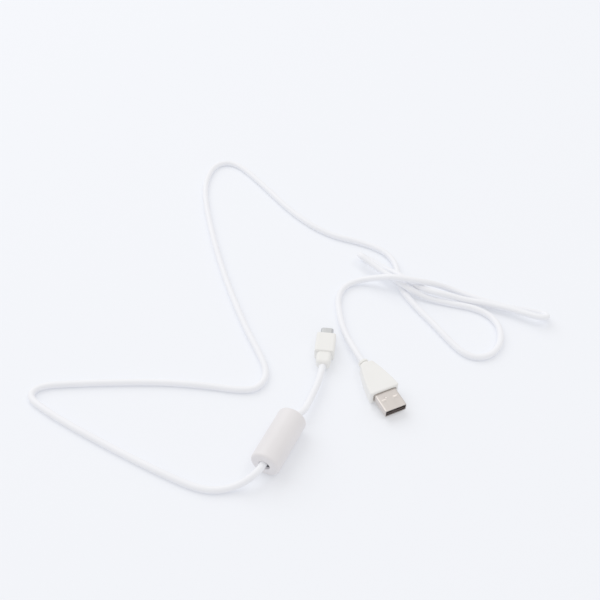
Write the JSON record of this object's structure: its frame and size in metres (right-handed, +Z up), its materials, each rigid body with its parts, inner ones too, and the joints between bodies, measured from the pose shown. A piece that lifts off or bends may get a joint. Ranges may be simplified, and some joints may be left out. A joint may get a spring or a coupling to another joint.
{
  "type": "usb cable",
  "caption": "White USB cable with a standard A plug, a mini-B plug and a round ferrite choke close to the mini-B plug, lying loose as it was unfolded",
  "frame": {"origin": "middle of the flat underside of the A plug's moulded body, on the floor", "axes": "+X out of the A plug's mouth, +Z up from the floor, +Y to the left of the A plug seen from its cable"},
  "size_m": [0.242, 0.2721, 0.0148],
  "materials": {
    "plug_pvc": "satin",
    "cable_pvc": "satin",
    "choke_plastic": "satin",
    "shell_steel": "satin",
    "insulator_plastic": "matte",
    "contact_gold": "polished",
    "inner_mould_plastic": "matte",
    "ferrite": "matte",
    "wire_red": "satin",
    "wire_white": "satin",
    "wire_green": "satin",
    "wire_black": "satin"
  },
  "bodies": {
    "root": {"usb_a_overmould": "plug_pvc", "usb_a_shell": "shell_steel", "usb_a_insulator": "insulator_plastic", "usb_a_inner_mould": "inner_mould_plastic", "usb_a_contact_vbus": "contact_gold", "usb_a_contact_data_minus": "contact_gold", "usb_a_contact_data_plus": "contact_gold", "usb_a_contact_ground": "contact_gold", "usb_a_wire_red": "wire_red", "usb_a_wire_white": "wire_white", "usb_a_wire_green": "wire_green", "usb_a_wire_black": "wire_black", "mini_b_overmould": "plug_pvc", "mini_b_shell": "shell_steel", "mini_b_insulator": "insulator_plastic", "mini_b_inner_mould": "inner_mould_plastic", "mini_b_contact_vbus": "contact_gold", "mini_b_contact_data_minus": "contact_gold", "mini_b_contact_data_plus": "contact_gold", "mini_b_contact_id": "contact_gold", "mini_b_contact_ground": "contact_gold", "mini_b_wire_red": "wire_red", "mini_b_wire_white": "wire_white", "mini_b_wire_green": "wire_green", "mini_b_wire_black": "wire_black", "choke_case_left": "choke_plastic", "choke_case_right": "choke_plastic", "choke_ferrite_core": "ferrite", "cable": "cable_pvc"}
  },
  "joints": []
}
